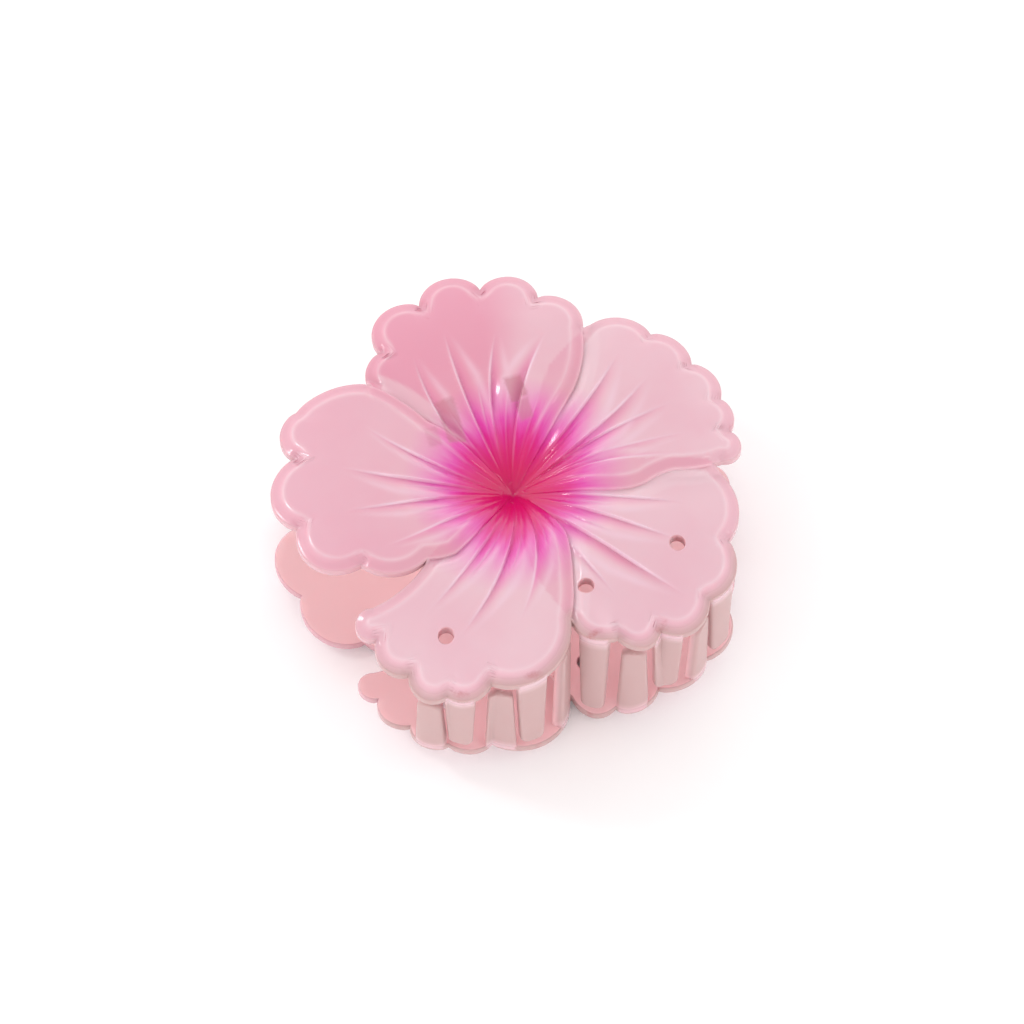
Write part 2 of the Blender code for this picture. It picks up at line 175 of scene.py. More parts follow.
# Petals from the topmost down. An outline corner is (radius, bearing from the petal's axis,
# bulge of the arc to the next corner). A vein is (radius of its tip, bearing of its tip and of
# its root from the axis, width, depth, side of its line on which the groove lies).
PETALS = {
    "upper_left": dict(
        bearing=288.0, lean=(1, 1), bends=(), dye=19.0, tone=0.4,
        outline=((0.0, 0.0, 0.2), (9.9, -58.3, 0.3), (17.5, -55.7, 0.3), (21.3, -46.5, 2.3),
                 (31.0, -32.5, 4.3), (38.4, -13.1, 4.3), (38.4, 6.9, 2.6), (40.3, 20.0, 1.7),
                 (30.7, 35.6, 0.6), (18.2, 36.0, 0.3), (9.0, 40.0, 0.2)),
        veins=((28.6, 21.0, 3.0, 1.3, 0.42, -1), (30.9, 3.9, -8.0, 2.3, 0.50, -1),
               (31.0, -12.5, -19.0, 1.9, 0.45, -1), (26.6, -31.2, -42.0, 1.7, 0.42, -1),
               (19.0, 12.5, 2.0, 1.1, 0.20, -1), (21.5, -4.5, -12.0, 1.2, 0.22, -1),
               (22.5, -21.5, -30.0, 1.2, 0.22, -1), (15.5, 27.0, 22.0, 1.4, 0.25, -1),
               (16.5, -43.0, -50.0, 1.2, 0.22, -1))),
    "top": dict(
        bearing=0.0, lean=(-1, 1), bends=(), dye=19.2, tone=0.9,
        outline=((0.0, 0.0, 0.0), (20.0, -41.0, 0.0), (28.2, -41.0, 0.4), (30.5, -36.5, 1.6),
                 (34.3, -25.1, 4.5), (38.2, -7.6, 4.1), (38.0, 9.2, 3.6), (35.9, 25.0, 2.9),
                 (30.9, 41.2, 0.7), (20.2, 49.7, 0.4)),
        veins=((30.2, -17.7, -44.0, 2.2, 0.42, 1), (31.4, -5.0, -17.0, 2.6, 0.48, 1),
               (28.8, 12.4, -7.0, 2.6, 0.52, 1), (29.0, 30.1, 15.0, 3.0, 0.75, -1),
               (22.0, 1.0, -12.0, 1.2, 0.22, 1), (19.5, -22.0, -30.0, 1.3, 0.26, 1),
               (19.0, 16.5, 5.0, 1.2, 0.26, 1), (17.0, 36.0, 27.0, 1.3, 0.26, 1),
               (13.0, 43.0, 40.0, 1.1, 0.22, 1))),
    "lower_left": dict(
        bearing=216.0, lean=(1, -1), bends=((3.3, 1.0, 15.0),), dye=22.2, tone=0.05,
        outline=((0.0, 0.0, 0.3), (8.3, -65.2, 0.2), (13.7, -60.0, 0.3), (21.6, -46.6, 0.3),
                 (28.9, -38.2, 4.9), (37.5, -12.4, 1.7), (40.4, -1.9, 2.2), (39.4, 9.2, 2.2),
                 (37.6, 21.0, 3.1), (34.0, 28.0, -1.3), (21.0, 26.0, 0.0)),
        veins=((30.5, 12.8, -3.0, 2.2, 0.42, -1), (32.3, 0.3, -26.0, 2.8, 0.52, -1),
               (28.3, -19.3, -50.0, 2.4, 0.45, -1), (24.5, 6.0, -13.0, 1.3, 0.22, -1),
               (21.0, -14.0, -38.0, 1.3, 0.22, -1), (17.5, -38.0, -60.0, 1.2, 0.24, -1))),
    "upper_right": dict(
        bearing=72.0, lean=(-1, 1), bends=(), dye=21.0, tone=0.1,
        outline=((0.0, 0.0, 0.0), (22.0, -38.0, 0.0), (30.5, -31.5, 3.6), (37.7, -14.2, 1.9),
                 (38.9, -0.5, 1.9), (39.8, 11.6, 1.4), (39.1, 21.3, 2.6), (36.5, 30.2, 0.5),
                 (28.0, 32.7, -0.3), (23.0, 38.3, 0.3), (18.2, 42.9, 0.2), (12.3, 45.0, 0.2)),
        veins=((31.3, -17.0, -6.0, 3.4, 0.50, 1), (31.8, -4.2, 11.0, 3.3, 0.48, 1),
               (32.0, 8.2, 8.0, 2.7, 0.42, 1), (32.9, 20.3, 18.0, 1.7, 0.30, 1),
               (30.5, 27.7, 22.5, 1.2, 0.34, -1), (19.0, -9.5, 1.0, 1.2, 0.24, 1),
               (17.0, 3.5, 12.0, 1.1, 0.22, 1), (17.0, 14.0, 14.0, 1.0, 0.22, 1),
               (15.0, 33.0, 31.0, 1.2, 0.22, 1))),
    "lower_right": dict(
        bearing=144.0, lean=(-1, -1), bends=((2.6, 8.0, 10.0), (-4.0, 29.0, 5.0)), dye=19.0, tone=0.1,
        outline=((0.0, 0.0, 0.0), (20.0, -46.0, 0.0), (34.0, -42.5, 3.4), (38.9, -20.0, 2.8),
                 (40.2, -3.7, 2.6), (37.4, 11.0, 2.2), (34.8, 22.8, 1.9), (29.4, 33.4, 0.5),
                 (18.0, 44.0, 1.0)),
        veins=((31.4, -28.0, -21.0, 2.2, 0.40, 1), (32.3, -13.9, -10.0, 2.7, 0.50, 1),
               (37.3, -0.6, 7.0, 3.0, 0.62, 1), (30.4, 15.3, 16.0, 1.5, 0.36, 1),
               (20.5, -20.0, -15.0, 1.2, 0.22, 1), (23.0, -4.0, -1.0, 1.3, 0.22, 1))),
}


# ---- plan

def polar(radius, bearing):
    """Plan points at radii and bearings."""
    angle = np.radians(bearing)
    return np.stack([radius * np.sin(angle), radius * np.cos(angle)], -1)


def arc(start, end, bulge, step):
    """Points from start up to, not including, end along an arc that bulges to the left."""
    chord = end - start
    length = float(np.hypot(*chord))
    steps = max(1, math.ceil(length / step))
    shares = np.arange(steps) / steps
    sweep = 4.0 * math.atan(2.0 * bulge / length)
    if abs(sweep) < 0.01:
        return start + shares[:, None] * chord
    radius = length / (2.0 * math.sin(sweep / 2.0))
    left = np.array([-chord[1], chord[0]]) / length
    centre = (start + end) / 2.0 - left * radius * math.cos(sweep / 2.0)
    spoke = start - centre
    turn = -sweep * shares
    cosine, sine = np.cos(turn), np.sin(turn)
    return centre + np.stack([spoke[0] * cosine - spoke[1] * sine,
                              spoke[0] * sine + spoke[1] * cosine], -1)


def outline_corners(petal):
    return np.array([polar(radius, petal["bearing"] + offset)
                     for radius, offset, _ in petal["outline"]])


def petal_outline(petal, step=RIM_STEP):
    """Closed plan outline of a petal, clockwise seen from the front."""
    corners = outline_corners(petal)
    pieces = []
    for i, (_, _, bulge) in enumerate(petal["outline"]):
        pieces.append(arc(corners[i], corners[(i + 1) % len(corners)], bulge, step))
    return np.concatenate(pieces)


def rim_distance(points, loop):
    """Distance of each point inside a closed loop from the loop; negative outside it."""
    start, end = loop, np.roll(loop, -1, axis=0)
    edge = end - start
    square = (edge ** 2).sum(1)
    result = np.empty(len(points))
    for first in range(0, len(points), 3000):
        part = points[first:first + 3000, None, :]
        share = np.clip(((part - start) * edge).sum(2) / square, 0.0, 1.0)
        gap = part - start - share[..., None] * edge
        near = np.sqrt((gap ** 2).sum(2).min(1))
        above = (start[:, 1] > part[..., 1]) != (end[:, 1] > part[..., 1])
        rise = np.where(edge[:, 1] == 0.0, 1.0, edge[:, 1])
        cross = start[:, 0] + (part[..., 1] - start[:, 1]) / rise * edge[:, 0]
        inside = (above & (part[..., 0] < cross)).sum(1) % 2 == 1
        result[first:first + 3000] = np.where(inside, near, -near)
    return result


def smooth(low, high, value):
    """Smooth step from 0 at low to 1 at high."""
    share = np.clip((value - low) / (high - low), 0.0, 1.0)
    return share * share * (3.0 - 2.0 * share)


# ---- surface

def offset_from(petal, points):
    """Bearing of each point from a petal's axis, from -180 to 180."""
    bearing = np.degrees(np.arctan2(points[:, 0], points[:, 1])) - petal["bearing"]
    return (bearing + 180.0) % 360.0 - 180.0


def base_height(petal, points):
    """Outer surface of a petal before its fine form, as in the CAD but not yet clipped."""
    radius = np.hypot(points[:, 0], points[:, 1])
    offset = offset_from(petal, points)
    rise = np.sin(np.pi / 2.0 * np.minimum(radius / CREST_RADIUS, 1.0))
    height = CENTRE_HEIGHT + (CREST_HEIGHT - CENTRE_HEIGHT) * rise
    outward = np.maximum(radius - CREST_RADIUS, 0.0) / RIM_RUN
    height -= RIM_FALL * outward ** 2
    lean = np.where(offset < 0.0, petal["lean"][0], petal["lean"][1])
    lift = np.where(lean > 0.0, LEAN_OVER, -LEAN_UNDER)
    share = np.minimum(np.abs(offset) / LEAN_ANGLE, 1.0)
    height += lift * share ** 2 * np.minimum(radius / LEAN_FADE, 1.0)
    for depth, middle, spread in petal["bends"]:
        height -= depth * outward ** 1.3 * np.exp(-((offset - middle) / spread) ** 2 / 2.0)
    return height


def clipped(height):
    """Soft upper limit at the height of the flat crests."""
    over = (REST_HEIGHT - height) / SOFT_CLIP
    return REST_HEIGHT - SOFT_CLIP * np.logaddexp(0.0, over)


def band_fall(inside, radius):
    """Fall of the sloping band inside a petal's rim."""
    fade = np.minimum(radius / LEAN_FADE, 1.0)
    width = BAND_WIDTH * fade + 0.05
    share = np.clip((width - inside) / width, 0.0, 1.0)
    curve = BAND_STEP * smooth(0.0, BAND_STEP_WIDTH, share) + (1.0 - BAND_STEP) * share ** 2
    return BAND_DROP * fade * curve


def corner_fall(inside):
    """Rounded top corner of an edge."""
    short = np.clip(CORNER - inside, 0.0, CORNER)
    return CORNER - np.sqrt(CORNER ** 2 - short ** 2)


def vein_relief(petal, points):
    """Fine relief of a petal's veins and how deep each point lies in a groove, from 0 to 1."""
    radius = np.maximum(np.hypot(points[:, 0], points[:, 1]), 1e-6)
    offset = offset_from(petal, points)
    relief = np.zeros(len(points))
    groove = np.zeros(len(points))
    line = np.zeros(len(points))
    for tip, tip_offset, root_offset, width, depth, side in petal["veins"]:
        share = radius / tip
        course = root_offset + (tip_offset - root_offset) * share
        across = side * np.radians(offset - course) * radius
        inward = np.clip(1.0 - share, 0.0, 1.0)
        wide = width * np.minimum(inward / 0.35, 1.0) ** 0.7 * np.minimum(radius / 11.0, 1.0) + 1e-4
        deep = VEIN_DEPTH * depth * smooth(0.0, 0.4, inward) * np.minimum(radius / 14.0, 1.0) ** 1.4
        u = across / wide
        floor = np.where(u < 1.0, (1.0 - u) ** 2 * (1.0 + 2.0 * u), 0.0)
        wall = smooth(*VEIN_WALL, across)
        floor = np.where(u < 0.0, 1.0, floor) * wall
        ridge = 0.26 * np.exp(-((u - 1.2) / 0.35) ** 2)
        lip = np.where(across < 0.0, 0.2 * np.exp(np.minimum(across, 0.0) / 0.5), 0.0)
        lip = lip * (1.0 - wall)
        relief += deep * (ridge + lip - floor)
        # The groove's depth also sets a painted shade: the deeper the groove, the darker its pink.
        groove = np.maximum(groove, floor * deep / 0.5)
        # Painted highlight: a light line along each vein's lip and a softer one along its ridge.
        vein_highlight = np.exp(-((across + 0.04) / 0.22) ** 2) + 0.5 * np.exp(-((u - 1.25) / 0.3) ** 2)
        line = np.maximum(line, vein_highlight * np.minimum(deep / 0.4, 1.0) * smooth(3.0, 8.0, radius))
    return relief, np.clip(groove, 0.0, 1.0), np.clip(line, 0.0, 1.0)


def notch_relief(petal, points):
    """Shallow valleys that run from the rim's notches towards the petal's root."""
    relief = np.zeros(len(points))
    for corner in outline_corners(petal):
        if np.hypot(*corner) < NOTCH_RADIUS:
            continue
        inward = polar(16.0, petal["bearing"]) - corner
        inward = inward / np.hypot(*inward)
        along = (points - corner) @ inward
        across = (points - corner) @ np.array([-inward[1], inward[0]])
        share = np.clip(1.0 - along / NOTCH_LENGTH, 0.0, 1.0) * smooth(-0.6, 0.3, along)
        relief -= NOTCH_DEPTH * share ** 1.5 * np.exp(-(across / NOTCH_WIDTH) ** 2)
    return relief


def covering(points, loops):
    """Rim distances of the points in each petal, topmost petal first."""
    return np.stack([rim_distance(points, loop) for loop in loops], 1)


def surface(points, loops):
    """Outer and inner surface of the slab at plan points, and what the paint needs."""
    inside = covering(points, loops)
    held = inside > -0.01
    held[~held.any(1), np.argmax(inside[~held.any(1)], 1)] = True
    owner = np.argmax(held, 1)
    lowest = held.shape[1] - 1 - np.argmax(held[:, ::-1], 1)
    radius = np.hypot(points[:, 0], points[:, 1])
    top, under = np.zeros(len(points)), np.zeros(len(points))
    groove, line = np.zeros(len(points)), np.zeros(len(points))
    for i, petal in enumerate(PETALS.values()):
        mine = owner == i
        spots = points[mine]
        relief, groove[mine], line[mine] = vein_relief(petal, spots)
        depth = np.maximum(inside[mine, i], 0.0)
        height = base_height(petal, spots) + relief + notch_relief(petal, spots)
        fade = np.minimum(radius[mine] / LEAN_FADE, 1.0)
        height = clipped(height) - band_fall(depth, radius[mine]) - corner_fall(depth) * fade
        for j, over in enumerate(list(PETALS.values())[:i]):
            rise = clipped(base_height(over, spots)) - (SEAM_STEP + CORNER) * fade
            rise -= band_fall(np.zeros(len(spots)), radius[mine])
            height += (rise - height) * smooth(SEAM_WIDTH, 0.0, np.abs(inside[mine, j]))
        top[mine] = height
        mine = lowest == i
        under[mine] = np.minimum(base_height(petal, points[mine]), REST_HEIGHT) - PLATE
    rows = np.arange(len(points))
    own = inside[rows, owner]
    doubled = np.where(np.arange(held.shape[1]) == owner[:, None], -9.0, inside).max(1)
    higher = np.where(np.arange(held.shape[1]) < owner[:, None], -inside, 99.0).min(1)
    patch = smooth(3.1, 2.5, higher) * smooth(1.9, 2.6, own)
    return dict(top=top, under=under, owner=owner, inside=own, doubled=doubled,
                patch=patch, groove=groove, line=line, radius=radius)


# ---- plan meshes

def triangulate(points, edges, inside_any):
    """Delaunay triangles of plan points that keep the edges and lie inside any of the loops."""
    found = geometry.delaunay_2d_cdt([Vector(p) for p in points.tolist()], edges, [], 0, 1e-5,
                                     False)
    spots = np.array([tuple(p) for p in found[0]])
    faces = np.array([tuple(f) for f in found[2]])
    middle = spots[faces].mean(1)
    keep = np.zeros(len(faces), bool)
    for loop in inside_any:
        keep |= rim_distance(middle, loop) > 0.0
    return spots, faces[keep]


def border_loops(faces):
    """Loops of vertex numbers along the edges that only one face has, in the faces' direction."""
    edges = np.concatenate([faces[:, [0, 1]], faces[:, [1, 2]], faces[:, [2, 0]]])
    known = {tuple(e) for e in edges.tolist()}
    following = {a: b for a, b in known if (b, a) not in known}
    loops = []
    while following:
        first, point = following.popitem()
        loop = [first]
        while point != first:
            loop.append(point)
            point = following.pop(point)
        loops.append(loop)
    return loops


def flower_outline(loops):
    """Outline of the five petals together, anticlockwise, without very short edges."""
    edges, start = [], 0
    for loop in loops:
        count = len(loop)
        edges += [(start + i, start + (i + 1) % count) for i in range(count)]
        start += count
    spots, faces = triangulate(np.concatenate(loops), edges, loops)
    outer = spots[max(border_loops(faces), key=len)]
    kept = []
    for i, point in enumerate(outer):
        back, ahead = point - outer[i - 1], outer[(i + 1) % len(outer)] - point
        turn = abs(math.atan2(back[0] * ahead[1] - back[1] * ahead[0], float(back @ ahead)))
        short = min(np.hypot(*back), np.hypot(*ahead)) < RIM_STEP * 0.4
        if not short or turn > 0.3:
            kept.append(point)
    return np.array(kept)


def outward(loop):
    """Mitred outward normals of an anticlockwise loop."""
    edge = np.roll(loop, -1, axis=0) - loop
    edge = edge / np.hypot(edge[:, 0], edge[:, 1])[:, None]
    normal = np.stack([edge[:, 1], -edge[:, 0]], 1)
    both = normal + np.roll(normal, 1, axis=0)
    length = np.hypot(both[:, 0], both[:, 1])
    unit = both / length[:, None]
    return unit * np.minimum(2.0 / length, 1.6)[:, None]


def grid(step, low, high):
    """Points of a triangular grid between two radii."""
    rows = np.arange(-high, high + step, step * math.sqrt(0.75))
    columns = np.arange(-high, high + step, step)
    x = columns[None, :] + (np.arange(len(rows)) % 2)[:, None] * step / 2.0
    y = np.broadcast_to(rows[:, None], x.shape)
    points = np.stack([x.ravel(), y.ravel()], 1)
    radius = np.hypot(points[:, 0], points[:, 1])
    return points[(radius >= low) & (radius < high)]


def thinned(points, fixed, gap):
    """The points that lie farther than gap from every fixed point."""
    tree = kdtree.KDTree(len(fixed))
    for i, (x, y) in enumerate(fixed.tolist()):
        tree.insert((x, y, 0.0), i)
    tree.balance()
    near = np.array([tree.find((x, y, 0.0))[2] for x, y in points.tolist()])
    return points[near > gap]


class Plan:
    """Points and kept edges gathered for one triangulation."""

    def __init__(self, border):
        self.chunks = []
        self.count = 0
        self.edges = []
        self.add_ring(border)

    def add(self, points):
        self.chunks.append(points)
        self.count += len(points)

    def add_row(self, points, allowed):
        """A row of points, joined where neighbouring points are both allowed."""
        for centre, _ in hole_rings():
            allowed = allowed & (np.hypot(*(points - centre).T) > HOLE_LIP + 0.3)
        numbers = np.cumsum(allowed) - 1 + self.count
        for i in range(len(points) - 1):
            if allowed[i] and allowed[i + 1]:
                self.edges.append((int(numbers[i]), int(numbers[i + 1])))
        self.add(points[allowed])

    def add_ring(self, points):
        first = self.count
        self.add(points)
        count = len(points)
        self.edges += [(first + i, first + (i + 1) % count) for i in range(count)]

    def points(self):
        return np.concatenate(self.chunks)


def edge_rows(plan, loops, border, order, shifts, margin):
    """Rows along the petal edges that show, or that show from below if order is reversed."""
    for i, loop in enumerate(loops):
        closed = np.concatenate([loop, loop[:1]])
        normal = outward(loop[::-1])[::-1]
        normal = np.concatenate([normal, normal[:1]])
        hidden = np.zeros(len(closed), bool)
        for other in loops[:i] if order > 0 else loops[i + 1:]:
            hidden |= rim_distance(closed, other) > 0.0
        for shift in shifts:
            row = closed - normal * shift
            allowed = ~hidden & (rim_distance(row, border) > margin)
            allowed &= np.hypot(row[:, 0], row[:, 1]) > 1.2
            plan.add_row(row, allowed)


def vein_rows(plan, loops, border):
    """Rows along the veins' lines, inside the part of each petal that shows."""
    for i, petal in enumerate(PETALS.values()):
        for tip, tip_offset, root_offset, _, _, side in petal["veins"]:
            radius = np.arange(2.5, tip, VEIN_STEP)
            line = petal["bearing"] + root_offset + (tip_offset - root_offset) * radius / tip
            for shift in VEIN_ROWS:
                row = polar(radius, line + side * np.degrees(shift / radius))
                allowed = rim_distance(row, border) > 0.3
                allowed &= rim_distance(row, loops[i]) > 0.45
                for j in range(i):
                    allowed &= rim_distance(row, loops[j]) < -0.3
                plan.add_row(row, allowed)


def hole_rings():
    """Centre of each hole and the directions of its rim's points."""
    turns = np.arange(HOLE_SIDES) * 2.0 * np.pi / HOLE_SIDES
    spin = np.stack([np.cos(turns), np.sin(turns)], 1)
    return [(polar(radius, bearing), spin) for radius, bearing in HOLES]


def without_holes(spots, faces):
    """The faces whose middle lies outside every hole."""
    middle = spots[faces].mean(1)
    keep = np.ones(len(faces), bool)
    for centre, _ in hole_rings():
        keep &= np.hypot(*(middle - centre).T) > HOLE_LIP * 0.99
    return faces[keep]


def plan_meshes():
    """Petal outlines, silhouette, border and the triangulated outer and inner faces."""
    loops = [petal_outline(petal) for petal in PETALS.values()]
    silhouette = flower_outline(loops)
    border = silhouette - outward(silhouette) * CORNER

    plan = Plan(border)
    for centre, spin in hole_rings():
        plan.add_ring(centre + spin * HOLE_LIP)
        plan.add(centre + spin * (HOLE_LIP + 0.3))
    edge_rows(plan, loops, border, 1, EDGE_ROWS, 0.25)
    vein_rows(plan, loops, border)
    for inset in RIM_ROWS:
        ring = border - outward(border) * inset
        depth = rim_distance(ring, border)
        plan.add(thinned(ring[depth > inset * 0.9], plan.points(), 0.16))
    filling = np.concatenate([grid(FINE_STEP, 0.0, FINE_RADIUS),
                              grid(COARSE_STEP, FINE_RADIUS, GRID_REACH)])
    filling = filling[rim_distance(filling, border) > 0.3]
    plan.add(thinned(filling, plan.points(), 0.2))
    spots, faces = triangulate(plan.points(), plan.edges, [border])

    under = Plan(border)
    for centre, spin in hole_rings():
        under.add_ring(centre + spin * HOLE_LIP)
    edge_rows(under, loops, border, -1, (-0.08, 0.0), 0.5)
    filling = grid(UNDER_STEP, 0.0, GRID_REACH)
    filling = filling[rim_distance(filling, border) > 0.6]
    under.add(thinned(filling, under.points(), 0.5))
    under_spots, under_faces = triangulate(under.points(), under.edges, [border])
    return (loops, silhouette, border, (spots, without_holes(spots, faces)),
            (under_spots, without_holes(under_spots, under_faces)))


# ---- solids

def new_object(name, data):
    """Object of a mesh, lamp or camera, added to the scene."""
    obj = bpy.data.objects.new(name, data)
    bpy.context.scene.collection.objects.link(obj)
    return obj


# Paint on the vertices; part of it is painted highlight, shade and sheen, as noted where it is made.
PAINT = ("dye", "groove", "line", "rim_highlight", "band", "doubled", "patch", "tone", "inner", "tooth",
         "smudge", "lug", "skirt")


class Solid:
    """Vertices, triangles or quads and paint of one closed solid, before it is mirrored."""

    def __init__(self):
        self.spots = []
        self.paint = {name: [] for name in PAINT}
        self.faces = []
        self.count = 0

    def add(self, spots, paint=None):
        """Adds vertices with their paint and returns the number of the first."""
        first = self.count
        self.spots.append(spots)
        for name in PAINT:
            value = (paint or {}).get(name, 0.0)
            self.paint[name].append(np.broadcast_to(value, (len(spots),)))
        self.count += len(spots)
        return first

    def strip(self, first, second):
        """Quads between two closed loops of vertex numbers."""
        for i in range(len(first)):
            j = (i + 1) % len(first)
            self.faces.append((first[j], first[i], second[i], second[j]))

    def build(self, name, side, shift):
        """Object of the solid for a side, 1 front or -1 rear, moved by shift, in metres."""
        spots = np.concatenate(self.spots) * MM
        spots[:, 2] *= side
        spots += np.array(shift)
        faces = self.faces if side > 0 else [face[::-1] for face in self.faces]
        mesh = bpy.data.meshes.new(name)
        mesh.from_pydata(spots.tolist(), [], faces)
        for key in PAINT:
            values = np.concatenate(self.paint[key]).astype(np.float32)
            mesh.attributes.new(key, "FLOAT", "POINT").data.foreach_set("value", values)
        mesh.attributes.new("known", "FLOAT", "POINT").data.foreach_set(
            "value", np.ones(len(spots), np.float32))
        return new_object(name, mesh)


def petal_paint(points, data):
    """Paint of the outer surface from what surface() found."""
    petals = list(PETALS.values())
    reach = np.array([petal["dye"] for petal in petals])[data["owner"]]
    radius, groove = data["radius"], data["groove"]
    dye = np.clip((reach - radius) / (reach - DYE_CORE), 0.0, 1.0)
    dye = dye + 0.12 * groove * smooth(reach + 12.0, reach - 4.0, radius)
    tone = np.array([petal["tone"] for petal in petals])[data["owner"]]
    far = smooth(8.0, 14.0, radius)
    smudge = np.zeros(len(points))
    for key, bearing in FRONT_TEETH[:4]:
        root = rim_point(petal_outline(PETALS[key]), bearing)
        root = root * (1.0 - 1.0 / np.hypot(*root))
        gap = points - root
        out = root / np.hypot(*root)
        along = gap @ np.array([-out[1], out[0]])
        smudge = np.maximum(smudge, np.exp(-(along / 2.0) ** 2 - ((gap @ out) / 0.8) ** 2))
    lug = np.zeros(len(points))
    for left, right, low, high, strength in SEEN_THROUGH:
        middle = np.array([(left + right) / 2.0, (low + high) / 2.0])
        gap = np.abs(points - middle) - np.array([right - left, high - low]) / 2.0
        lug = np.maximum(lug, strength * smooth(0.15, -0.2, gap.max(1)))
    bearing = np.degrees(np.arctan2(points[:, 0], points[:, 1])) % 360.0
    skirt = smooth(122.0, 130.0, bearing) * smooth(238.0, 226.0, bearing) * smooth(26.0, 28.0, radius)
    skirt = skirt * smooth(1.9, 0.3, data["inside"])
    # Painted highlight: a light line along the band's inner edge and one just inside the rim's edge.
    rim_highlight = np.exp(-((data["inside"] - BAND_WIDTH) / 0.32) ** 2)
    rim_highlight = np.maximum(rim_highlight, 0.8 * smooth(0.45, 0.1, data["inside"]))
    # On the top petal the pinker tone fades towards its right edge: a painted sheen on that side.
    side = offset_from(PETALS["top"], points) * (data["owner"] == list(PETALS).index("top"))
    # The paint holds painted highlights on the veins and rim, and painted shade in grooves and on the
    # band.
    return dict(dye=np.clip(dye, 0.0, 1.2), groove=groove, line=data["line"],
                tone=tone * (1.0 - 0.75 * smooth(6.0, 24.0, side)),
                rim_highlight=rim_highlight * far, band=smooth(BAND_WIDTH, BAND_WIDTH - 0.5, data["inside"]) * far,
                doubled=smooth(0.0, 0.25, data["doubled"]) * far,
                patch=data["patch"] * far, smudge=smudge, lug=lug, skirt=skirt * 0.75)


def rim_point(outline, bearing):
    """Farthest point of an outline along a bearing from the flower's centre."""
    direction = polar(1.0, bearing)
    return direction * reach(outline, np.zeros(2), direction)


def reach(outline, start, direction):
    """Farthest distance from start, along a unit direction, at which a ray meets an outline."""
    side = np.array([direction[1], -direction[0]])
    a = (outline - start) @ side
    b = np.roll(a, -1)
    along = (outline - start) @ direction
    crossing = (a * b <= 0.0) & (np.abs(a - b) > 1e-9)
    share = a[crossing] / (a - b)[crossing]
    return float((along[crossing] + share * (np.roll(along, -1) - along)[crossing]).max())


def matched(loop, spots, others):
    """Numbers in others of the points at a loop's places."""
    found = {tuple(point): i for i, point in enumerate(others.round(3).tolist())}
    return [found[tuple(point)] for point in spots[loop].round(3).tolist()]


def slab_solid(plans):
    """The closed slab of five petals with its rounded rim and holes."""
    loops, silhouette, border, (spots, faces), (under_spots, under_faces) = plans
    top = surface(spots, loops)
    below = surface(under_spots, loops)
    solid = Solid()
    paint = petal_paint(spots, top)
    solid.add(np.column_stack([spots, top["top"]]), paint)
    start = solid.add(np.column_stack([under_spots, below["under"]]), dict(inner=1.0))
    solid.faces += [tuple(face) for face in faces.tolist()]
    solid.faces += [tuple(face) for face in (under_faces[:, ::-1] + start).tolist()]
    for loop in border_loops(faces):
        place = spots[loop]
        lower = matched(loop, spots, under_spots)
        low = below["under"][lower]
        high = top["top"][loop]
        centre, _ = min(hole_rings(), key=lambda ring: np.hypot(*(place[0] - ring[0])))
        if np.hypot(*(place[0] - centre)) < HOLE_LIP * 1.1:
            out, drop, wall = (centre - place) / HOLE_LIP * (HOLE_LIP - HOLE_RADIUS), HOLE_DROP, 1.0
        else:
            near = matched(range(len(place)), place, border)
            out, drop, wall = (silhouette - border)[near], CORNER, 0.0
        rim = {key: value[loop] for key, value in paint.items()}
        rim["inner"] = wall
        rim["skirt"] = np.minimum(rim["skirt"] * 1.33 + 0.35, 1.0) * (1.0 - wall)
        # Hole walls take the lugs' darker taupe: painted shade inside the holes.
        rim["lug"] = wall
        steps = [(high, -drop, turn) for turn in (30.0, 60.0, 90.0)]
        steps += [(low, drop, turn) for turn in (90.0, 60.0, 30.0)]
        previous = loop
        for height, move, turn in steps:
            share = math.sin(math.radians(turn))
            height = height + move * (1.0 - math.cos(math.radians(turn)))
            first = solid.add(np.column_stack([place + out * share, height]), rim)
            ring = list(range(first, first + len(loop)))
            solid.strip(previous, ring)
            previous = ring
        solid.strip(previous, [start + number for number in lower])
    return solid


